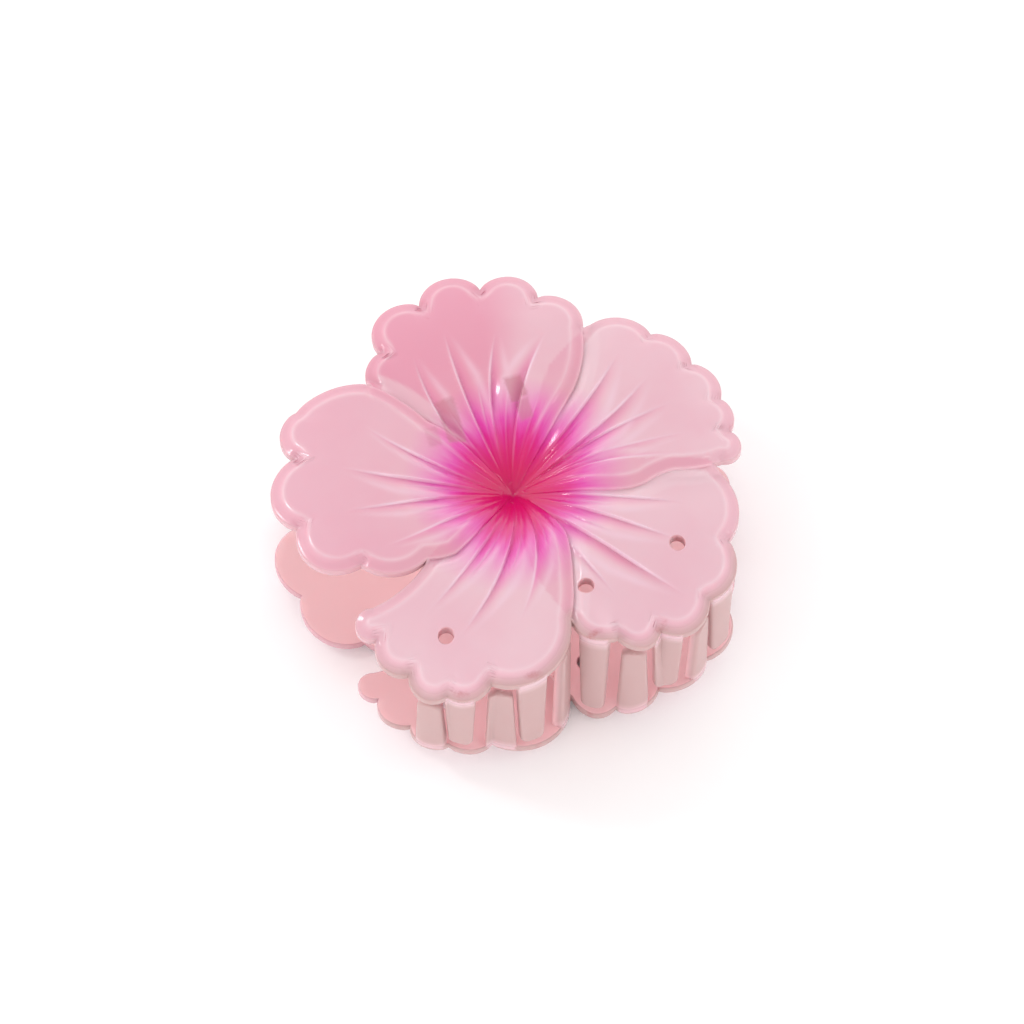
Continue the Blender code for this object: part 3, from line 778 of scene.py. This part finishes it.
def tooth_solid(key, bearing, loops):
    """Tooth that stands on the rim: its outer face follows the scallops and flattens downwards."""
    petal = PETALS[key]
    outline = loops[list(PETALS).index(key)]
    first, last = rim_point(outline, bearing - TOOTH_SPAN), rim_point(outline, bearing + TOOTH_SPAN)
    along = (last - first) / np.hypot(*(last - first))
    out = np.array([-along[1], along[0]])
    base = (first + last) / 2.0 - out * 2.0 * TOOTH_THICKNESS
    columns = np.linspace(-0.5, 0.5, TOOTH_COLUMNS)
    columns = np.sign(columns) * 0.5 * (1.0 - (1.0 - np.abs(columns) * 2.0) ** 1.4)
    spots = [base + along * TOOTH_ROOT_WIDTH * c for c in columns]
    rim = np.array([reach(outline, spot, out) for spot in spots])
    flat = np.polyval(np.polyfit(columns, rim, 1), columns)
    flat = flat - max(0.0, float((flat - rim).min()))
    edge = np.stack(spots) + out * rim[:, None]
    root_height = clipped(base_height(petal, edge)) - ROOT_DEPTH
    tip = -(root_height.min() + ROOT_DEPTH - PLATE - TIP_GAP)
    levels = np.concatenate([np.linspace(0.0, 0.9, 14), np.linspace(0.91, 1.0, 9)])
    solid = Solid()
    previous = None
    for level in levels:
        height = root_height + (tip - root_height) * level
        left = float(abs(tip - height.mean()))
        width = TOOTH_ROOT_WIDTH + (TOOTH_TIP_WIDTH - TOOTH_ROOT_WIDTH) * level
        width -= 2.0 * rounding(left, TIP_ROUND)
        thin = rounding(left, EDGE_ROUND)
        face = rim + (flat - rim) * level * FLATTENING + TOOTH_PROUD - thin
        side = (0.5 - np.abs(columns)) * width
        edge_in = np.array([rounding(s, EDGE_ROUND) for s in side])
        outer = base + along * (columns * width)[:, None] + out * (face - edge_in)[:, None]
        back = face - TOOTH_THICKNESS + 2.0 * thin
        inner = base + along * (columns * width)[:, None] + out * (back + edge_in)[:, None]
        ring = np.concatenate([np.column_stack([outer, height]),
                               np.column_stack([inner, height])[::-1]])
        count = len(columns)
        inside = np.concatenate([np.zeros(count), np.ones(count)])
        paint = dict(tooth=smooth(0.0, 0.14, level) * (1.0 - inside), inner=inside)
        start = solid.add(ring, paint)
        numbers = list(range(start, start + 2 * count))
        if previous is None:
            solid.faces.append(tuple(numbers[::-1]))
        else:
            solid.strip(numbers, previous)
        previous = numbers
    solid.faces.append(tuple(previous))
    return solid


def rounding(left, radius):
    """How far a rounded edge of a radius lies in, at a distance from its end."""
    short = min(max(radius - left, 0.0), radius)
    return radius - math.sqrt(radius ** 2 - short ** 2)


def lug_solid(x):
    """Hinge lug: a tapered leg with a round boss about the hinge axis, its sides rounded."""
    turns = np.radians(np.linspace(170.0, 370.0, 26))
    boss = BOSS_RADIUS * np.stack([np.cos(turns), np.sin(turns)], 1)
    profile = np.concatenate([[LUG_ROOT[1], LUG_ROOT[0]], boss])
    middle = np.array([0.0, 4.0])
    solid = Solid()
    previous = None
    levels = ((0.0, LUG_INSET), (0.0, 0.0), (0.3, 0.0), (0.7, 0.0), (1.0, 0.0))
    halves = [(-1.0, level) for level in levels] + [(1.0, level) for level in levels[::-1]]
    for sign, (share, inset) in halves:
        inward = LUG_ROUND * (1.0 - math.sqrt(1.0 - (1.0 - share) ** 2)) + inset
        gap = middle - profile
        ring = profile + gap / np.hypot(gap[:, 0], gap[:, 1])[:, None] * inward
        across = x + sign * (LUG_WIDTH / 2.0 - LUG_ROUND * share)
        spots = np.column_stack([np.full(len(ring), across), HINGE_Y + ring[:, 0], ring[:, 1]])
        start = solid.add(spots, dict(inner=1.0))
        numbers = list(range(start, start + len(ring)))
        if previous is None:
            solid.faces.append(tuple(numbers))
        else:
            solid.strip(numbers[::-1], previous[::-1])
        previous = numbers
    solid.faces.append(tuple(previous[::-1]))
    return solid


def outward_faces(obj):
    """Turns an object's faces to point out."""
    bm = bmesh.new()
    bm.from_mesh(obj.data)
    bmesh.ops.triangulate(bm, faces=[face for face in bm.faces if len(face.verts) > 4])
    bmesh.ops.recalc_face_normals(bm, faces=bm.faces)
    bm.to_mesh(obj.data)
    bm.free()
    return obj


def combine(body, others, operation):
    """Applies a Boolean with each of the other closed objects, and removes them."""
    for other in others:
        modifier = body.modifiers.new(other.name, "BOOLEAN")
        modifier.operation = operation
        modifier.solver = "MANIFOLD"
        modifier.object = other
    bpy.context.view_layer.update()
    graph = bpy.context.evaluated_depsgraph_get()
    mesh = bpy.data.meshes.new_from_object(body.evaluated_get(graph))
    body.modifiers.clear()
    body.data = mesh
    for other in others:
        bpy.data.objects.remove(other)


def bore_cutter(shift):
    bm = bmesh.new()
    bmesh.ops.create_cone(bm, cap_ends=True, segments=ROUND_SIDES,
                          radius1=BORE_RADIUS * MM, radius2=BORE_RADIUS * MM, depth=40.0 * MM)
    for vertex in bm.verts:
        x, y, z = vertex.co
        vertex.co = Vector((z, y + HINGE_Y * MM, -x)) + Vector(shift)
    mesh = bpy.data.meshes.new("bore")
    bm.to_mesh(mesh)
    bm.free()
    return new_object("bore", mesh)


def mend_paint(mesh):
    """Gives the vertices that a Boolean made the mean paint of their neighbours."""
    count = len(mesh.vertices)
    known = np.zeros(count, np.float32)
    mesh.attributes["known"].data.foreach_get("value", known)
    edges = np.zeros(len(mesh.edges) * 2, np.int64)
    mesh.edges.foreach_get("vertices", edges)
    edges = edges.reshape(-1, 2)
    pairs = np.concatenate([edges, edges[:, ::-1]])
    pairs = pairs[(known[pairs[:, 0]] < 0.5) & (known[pairs[:, 1]] > 0.5)]
    weight = np.bincount(pairs[:, 0], minlength=count)
    for key in PAINT:
        values = np.zeros(count, np.float32)
        mesh.attributes[key].data.foreach_get("value", values)
        total = np.bincount(pairs[:, 0], values[pairs[:, 1]], count)
        new = weight > 0
        values[new] = total[new] / weight[new]
        mesh.attributes[key].data.foreach_set("value", values)
    mesh.attributes.remove(mesh.attributes["known"])


def add_ray(mesh, shift):
    """Stores the direction from the flower's centre and the radius, for streaks along it."""
    spots = np.zeros(len(mesh.vertices) * 3, np.float32)
    mesh.vertices.foreach_get("co", spots)
    flat = (spots.reshape(-1, 3)[:, :2] - np.array(shift)[:2]) / MM
    radius = np.maximum(np.hypot(flat[:, 0], flat[:, 1]), 1e-3)
    ray = np.column_stack([flat / radius[:, None], radius / 200.0]).astype(np.float32)
    mesh.attributes.new("ray", "FLOAT_VECTOR", "POINT").data.foreach_set("vector", ray.ravel())


def flower_half(name, plans, slab, teeth, lug_x, side, shift):
    """One moulded half as one closed mesh with its paint."""
    body = outward_faces(slab.build(name, side, shift))
    added = [tooth_solid(key, bearing, plans[0]) for key, bearing in teeth]
    added += [lug_solid(x) for x in (-lug_x, lug_x)]
    others = [outward_faces(solid.build(f"{name}_{i}", side, shift)) for i, solid in enumerate(added)]
    combine(body, others, "UNION")
    combine(body, [bore_cutter(shift)], "DIFFERENCE")
    mend_paint(body.data)
    add_ray(body.data, shift)
    body.data.shade_smooth()
    body.data.set_sharp_from_angle(angle=SHARP_ANGLE)
    return body


def turned_pin(shift):
    """Hinge pin with a domed head at each end."""
    shank = REAR_LUG_X + LUG_WIDTH / 2.0 + PIN_SLACK
    profile = [(x, share * HEAD_RADIUS) for x, share in HEAD_PROFILE]
    profile += [(HEAD_LENGTH, PIN_RADIUS + 0.1), (HEAD_LENGTH + 0.1, PIN_RADIUS)]
    profile = [(-shank - HEAD_LENGTH + x, radius) for x, radius in profile]
    profile += [(-x, radius) for x, radius in profile[::-1]]
    rings = []
    for x, radius in profile:
        turns = [2.0 * math.pi * i / ROUND_SIDES for i in range(ROUND_SIDES)]
        spots = [(x, HINGE_Y + radius * math.cos(turn), radius * math.sin(turn)) for turn in turns]
        rings.append([Vector(spot) * MM + Vector(shift) for spot in spots])
    return ring_solid(rings, "hinge_pin_turned")


def ring_solid(rings, name):
    """Closed smooth solid through rings of points, each ring joined to the next."""
    bm = bmesh.new()
    loops = [[bm.verts.new(spot) for spot in ring] for ring in rings]
    for first, second in zip(loops, loops[1:]):
        for i in range(len(first)):
            j = (i + 1) % len(first)
            bm.faces.new((first[i], first[j], second[j], second[i]))
    bm.faces.new(loops[0])
    bm.faces.new(loops[-1])
    return smooth_object(bm, name)


def smooth_object(bm, name):
    """Smooth-shaded object of a bmesh, which it frees."""
    bmesh.ops.recalc_face_normals(bm, faces=bm.faces)
    mesh = bpy.data.meshes.new(name)
    bm.to_mesh(mesh)
    bm.free()
    mesh.shade_smooth()
    mesh.set_sharp_from_angle(angle=METAL_SHARP_ANGLE)
    return new_object(name, mesh)


def spring_path():
    """Centre line of the torsion spring about the hinge axis: leg, coil, leg."""
    tip = Vector(LEG_TIP)
    touch = math.atan2(tip.y, tip.x) + math.acos(COIL_RADIUS / tip.length)
    sweep = 2.0 * (math.pi - touch) + 2.0 * math.pi * COIL_TURNS
    steps = TURN_STEPS * COIL_TURNS
    points = []
    for i in range(steps + 1):
        turn = touch + sweep * i / steps
        x = COIL_HALF_LENGTH * (2.0 * i / steps - 1.0)
        points.append(Vector((x, COIL_RADIUS * math.cos(turn), COIL_RADIUS * math.sin(turn))))
    first, last = points[0], points[-1]
    front_tip = Vector((first.x, tip.x, tip.y))
    rear_tip = Vector((last.x, tip.x, -tip.y))
    lead = [front_tip.lerp(first, i / LEG_STEPS) for i in range(LEG_STEPS)]
    tail = [last.lerp(rear_tip, (i + 1) / LEG_STEPS) for i in range(LEG_STEPS)]
    return lead + points + tail


def wire_spring(hinge):
    """Round wire swept along the spring's centre line, with rounded ends."""
    path = spring_path()
    rings = []
    side = Vector((1.0, 0.0, 0.0))
    for i, point in enumerate(path):
        ahead = (path[min(i + 1, len(path) - 1)] - path[max(i - 1, 0)]).normalized()
        side = (side - ahead * side.dot(ahead)).normalized()
        other = ahead.cross(side)
        thin = WIRE_END if i in (0, len(path) - 1) else 1.0
        ring = []
        for j in range(WIRE_SIDES):
            turn = 2.0 * math.pi * j / WIRE_SIDES
            spot = point + (side * math.cos(turn) + other * math.sin(turn)) * WIRE_RADIUS * thin
            ring.append(spot * MM + hinge)
        rings.append(ring)
    return ring_solid(rings, "spring_wire")


# ---- materials

def linear(red, green, blue):
    """Linear colour from display values of 0 to 255."""
    values = [channel / 255.0 for channel in (red, green, blue)]
    return [v / 12.92 if v <= 0.04045 else ((v + 0.055) / 1.055) ** 2.4 for v in values] + [1.0]


class Nodes:
    """Short calls for building a material's nodes."""

    def __init__(self, name):
        self.material = bpy.data.materials.new(name)
        self.material.use_nodes = True
        self.tree = self.material.node_tree
        self.shader = self.tree.nodes["Principled BSDF"]

    def new(self, kind, **values):
        node = self.tree.nodes.new(kind)
        for key, value in values.items():
            setattr(node, key, value)
        return node

    def join(self, source, target):
        if isinstance(source, (int, float)):
            target.default_value = source
        elif isinstance(source, (list, tuple)):
            target.default_value = source
        else:
            self.tree.links.new(source, target)

    def attribute(self, name, output="Fac"):
        return self.new("ShaderNodeAttribute", attribute_name=name).outputs[output]

    def math(self, operation, a, b=0.0, clamp=False):
        node = self.new("ShaderNodeMath", operation=operation, use_clamp=clamp)
        self.join(a, node.inputs[0])
        self.join(b, node.inputs[1])
        return node.outputs[0]

    def mix(self, factor, a, b):
        node = self.new("ShaderNodeMix", data_type="RGBA")
        self.join(factor, node.inputs["Factor"])
        self.join(a, node.inputs["A"])
        self.join(b, node.inputs["B"])
        return node.outputs["Result"]

    def noise(self, scale, detail=2.0, vector=None, roughness=0.5):
        node = self.new("ShaderNodeTexNoise")
        node.inputs["Scale"].default_value = scale
        node.inputs["Detail"].default_value = detail
        node.inputs["Roughness"].default_value = roughness
        if vector is None:
            vector = self.new("ShaderNodeTexCoord").outputs["Object"]
        self.join(vector, node.inputs["Vector"])
        return node.outputs["Fac"]

    def ramp(self, factor, stops):
        node = self.new("ShaderNodeValToRGB")
        ramp = node.color_ramp
        while len(ramp.elements) < len(stops):
            ramp.elements.new(0.5)
        for element, (place, colour) in zip(ramp.elements, stops):
            element.position = place
            element.color = colour
        self.join(factor, node.inputs["Fac"])
        return node.outputs["Color"], node.outputs["Alpha"]

    def bump(self, height, distance, strength=1.0):
        node = self.new("ShaderNodeBump")
        node.inputs["Distance"].default_value = distance
        node.inputs["Strength"].default_value = strength
        self.join(height, node.inputs["Height"])
        self.join(node.outputs["Normal"], self.shader.inputs["Normal"])

    def set(self, **values):
        for key, value in values.items():
            self.join(value, self.shader.inputs[key.replace("_", " ")])


def pigment(red, green, blue):
    """Base colour that the studio's light shows as the display values of 0 to 255."""
    seen = linear(red, green, blue)[:3]
    return [min(max((v - GLEAM) / LIGHT, 0.003), 1.0) for v in seen] + [1.0]


# Tints in the order they are laid on: paint attribute, strength, colour as it shows.
# The band and groove tints are painted shade: darker pink on the rim band's slope and in the grooves.
TINTS = (("tone", 0.85, (240, 156, 180)), ("band", 0.4, (234, 166, 182)),
         ("doubled", 0.35, (235, 150, 175)), ("patch", 0.5, (250, 216, 224)),
         ("groove", 0.62, (240, 140, 174)))
# Dye from its edge to the flower's heart: place, how far it covers, colour as it shows.
DYES = ((0.0, 0.0, (246, 96, 204)), (0.17, 0.2, (246, 90, 202)), (0.35, 0.5, (245, 80, 198)),
        (0.51, 0.83, (241, 58, 182)), (0.65, 0.97, (236, 20, 152)), (0.8, 1.0, (233, 4, 130)),
        (1.0, 1.0, (234, 2, 116)))


def petal_material(name, base, cloud, inner):
    """Milky gloss plastic, dyed magenta at the flower's heart, with matt greyish teeth."""
    n = Nodes(name)
    cloudy = n.noise(70.0, 3.0)
    cloudy = n.math("MULTIPLY", n.math("SUBTRACT", cloudy, 0.3, clamp=True), 1.4, clamp=True)
    colour = n.mix(cloudy, pigment(*base), pigment(*cloud))
    for key, strength, tint in TINTS:
        colour = n.mix(n.math("MULTIPLY", n.attribute(key), strength), colour, pigment(*tint))
    streak = n.noise(9.0, 4.0, n.attribute("ray", "Vector"), 0.65)
    sway = n.math("MULTIPLY", n.math("SUBTRACT", streak, 0.5), 0.34)
    window = n.math("MULTIPLY", n.attribute("dye"), 4.0, clamp=True)
    dye = n.math("ADD", n.attribute("dye"), n.math("MULTIPLY", sway, window), clamp=True)
    dyed, cover = n.ramp(dye, [(place, pigment(*shade)[:3] + [share])
                               for place, share, shade in DYES])
    colour = n.mix(cover, colour, dyed)
    # Painted highlight along the veins' lips and ridges, weaker where the dye covers.
    vein_highlight = n.math("MULTIPLY", n.attribute("line"), n.math("SUBTRACT", 0.85, n.math(
        "MULTIPLY", cover, 0.7)))
    colour = n.mix(vein_highlight, colour, pigment(255, 224, 238))
    # Painted highlight along the rim, broken up by noise.
    broken = n.math("ADD", 0.05, n.math("MULTIPLY", n.noise(150.0, 2.0), 0.65))
    colour = n.mix(n.math("MULTIPLY", n.attribute("rim_highlight"), broken), colour, pigment(254, 226, 232))
    colour = n.mix(n.attribute("inner"), colour, linear(*inner))
    # Taupe of the lugs seen through the plate; on the hole walls the same taupe is painted shade.
    colour = n.mix(n.math("MULTIPLY", n.attribute("lug"), 0.62), colour, pigment(208, 138, 150))
    matt = n.math("MAXIMUM", n.attribute("tooth"), n.attribute("skirt"))
    colour = n.mix(matt, colour, pigment(213, 175, 174))
    spots = n.new("ShaderNodeTexVoronoi")
    spots.inputs["Scale"].default_value = 85.0
    n.join(n.new("ShaderNodeTexCoord").outputs["Object"], spots.inputs["Vector"])
    speck = n.math("LESS_THAN", spots.outputs["Distance"], 0.016)
    rare = n.new("ShaderNodeSeparateColor")
    n.join(spots.outputs["Color"], rare.inputs["Color"])
    speck = n.math("MULTIPLY", speck, n.math("GREATER_THAN", rare.outputs["Red"], 0.45))
    colour = n.mix(n.math("MULTIPLY", speck, 0.6), colour, pigment(150, 95, 110))
    rub = n.math("MULTIPLY", n.attribute("smudge"), n.noise(900.0, 4.0, roughness=0.7), clamp=True)
    rub = n.math("MULTIPLY", n.math("SUBTRACT", rub, 0.22, clamp=True), 1.5, clamp=True)
    colour = n.mix(rub, colour, pigment(200, 120, 125))
    n.set(Base_Color=colour)
    fine = n.noise(260.0, 3.0)
    rough = n.math("ADD", 0.12, n.math("MULTIPLY", fine, 0.07))
    rough = n.math("ADD", rough, n.math("MULTIPLY", matt, 0.28))
    rough = n.math("ADD", rough, n.math("MULTIPLY", n.attribute("inner"), 0.14))
    n.set(Roughness=rough, IOR=1.4, Subsurface_Weight=0.2, Subsurface_Scale=0.0012,
          Coat_Weight=0.12, Coat_Roughness=0.06)
    n.shader.inputs["Subsurface Radius"].default_value = (1.0, 0.45, 0.5)
    waves = n.math("ADD", n.noise(320.0, 2.0), n.math("MULTIPLY", streak, 0.6))
    n.bump(waves, 0.00003, 0.4)
    return n.material


def steel_material(name, base, roughness, scale):
    """Steel with fine lines along X and slight stains."""
    n = Nodes(name)
    stretch = n.new("ShaderNodeMapping")
    stretch.inputs["Scale"].default_value = (0.08, 1.0, 1.0)
    n.join(n.new("ShaderNodeTexCoord").outputs["Object"], stretch.inputs["Vector"])
    lines = n.noise(scale, 3.0, stretch.outputs["Vector"])
    stain = n.noise(240.0, 4.0)
    colour = n.mix(stain, linear(*base), linear(*[0.78 * channel for channel in base]))
    n.set(Base_Color=colour, Metallic=1.0,
          Roughness=n.math("ADD", roughness, n.math("MULTIPLY", lines, 0.16)))
    n.bump(lines, 0.00002, 0.4)
    return n.material


def floor_material():
    """Matt white floor with the faintest cloudiness."""
    n = Nodes("studio_floor")
    colour = n.mix(n.noise(3.0, 2.0), linear(255, 255, 255), linear(252, 252, 252))
    n.set(Base_Color=colour, Roughness=0.7)
    return n.material


def dress(obj, material):
    obj.data.materials.clear()
    obj.data.materials.append(material)


# ---- studio

def add_camera(centre):
    """Camera above and in front of the flower, turned a little to its left."""
    turn, rise = math.radians(AZIMUTH), math.radians(ELEVATION)
    back = Vector((math.sin(turn) * math.cos(rise), -math.cos(turn) * math.cos(rise), math.sin(rise)))
    right = Vector((math.cos(turn), math.sin(turn), 0.0))
    up = back.cross(right)
    aim = centre + (right * AIM_RIGHT + up * AIM_UP) * MM
    camera = new_object("camera", bpy.data.cameras.new("camera"))
    camera.data.lens = LENS
    camera.data.sensor_width = 36.0
    camera.data.clip_end = 10.0
    camera.location = aim + back * DISTANCE * MM
    camera.rotation_mode = "QUATERNION"
    camera.rotation_quaternion = (-back).to_track_quat("-Z", "Y")
    bpy.context.scene.camera = camera


def add_softbox(name, centre, direction, distance, size, power):
    """Rectangular area light that faces the clip from a direction, metres away from it."""
    lamp = bpy.data.lights.new(name, "AREA")
    lamp.shape = "RECTANGLE"
    lamp.size, lamp.size_y = size
    lamp.energy = power
    obj = new_object(name, lamp)
    away = Vector(direction).normalized()
    obj.location = centre + away * distance
    obj.rotation_mode = "QUATERNION"
    obj.rotation_quaternion = away.to_track_quat("Z", "Y")


def add_studio(centre):
    """White surroundings that dim overhead, two softboxes and a pale floor."""
    scene = bpy.context.scene
    world = bpy.data.worlds.new("studio")
    world.use_nodes = True
    tree = world.node_tree
    split = tree.nodes.new("ShaderNodeSeparateXYZ")
    fall = tree.nodes.new("ShaderNodeMapRange")
    fall.interpolation_type = "SMOOTHSTEP"
    for key, value in (("From Min", 0.45), ("From Max", 0.9), ("To Min", 1.9), ("To Max", 0.54)):
        fall.inputs[key].default_value = value
    tree.links.new(tree.nodes.new("ShaderNodeTexCoord").outputs["Generated"], split.inputs[0])
    tree.links.new(split.outputs["Z"], fall.inputs["Value"])
    tree.links.new(fall.outputs["Result"], tree.nodes["Background"].inputs["Strength"])
    tree.nodes["Background"].inputs["Color"].default_value = (1.0, 1.0, 1.0, 1.0)
    scene.world = world
    scene.view_settings.view_transform = "Standard"
    add_softbox("key", centre, (-0.60, 0.42, 0.66), 0.5, (0.06, 0.06), 0.3)
    add_softbox("fill", centre, (0.75, -0.25, 0.7), 0.6, (0.06, 0.06), 0.1)
    bm = bmesh.new()
    bmesh.ops.create_grid(bm, x_segments=1, y_segments=1, size=1.5)
    floor = smooth_object(bm, "floor")
    dress(floor, floor_material())


# ---- the clip

def main():
    """Builds the pieces in the frame, the camera and the studio."""
    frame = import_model()
    hinge = Vector(frame["joints"][0]["pos_m"])
    shift = hinge - Vector((0.0, HINGE_Y * MM, 0.0))
    centre = shift + Vector((0.0, 0.0, CENTRE_HEIGHT * MM))

    plans = plan_meshes()
    slab = slab_solid(plans)
    front = flower_half("front_flower", plans, slab, FRONT_TEETH, FRONT_LUG_X, 1, shift)
    rear = flower_half("rear_flower", plans, slab, REAR_TEETH, REAR_LUG_X, -1, shift)
    dress(front, petal_material("front_petal_plastic", (247, 209, 218), (243, 190, 204),
                                (234, 194, 197)))
    dress(rear, petal_material("rear_petal_plastic", (247, 206, 214), (243, 188, 200),
                               (234, 194, 197)))
    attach(front, "front_half")
    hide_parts("front_claw")
    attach(rear, "rear_half")
    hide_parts("rear_claw")

    pin = turned_pin(shift)
    dress(pin, steel_material("pin_steel", (206, 206, 208), 0.12, 900.0))
    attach(pin, "rear_half")
    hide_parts("hinge_pin")

    spring = wire_spring(hinge)
    dress(spring, steel_material("spring_wire_steel", (176, 176, 180), 0.2, 1400.0))
    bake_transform(spring)
    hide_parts("torsion_spring")

    add_camera(centre)
    add_studio(centre)


main()
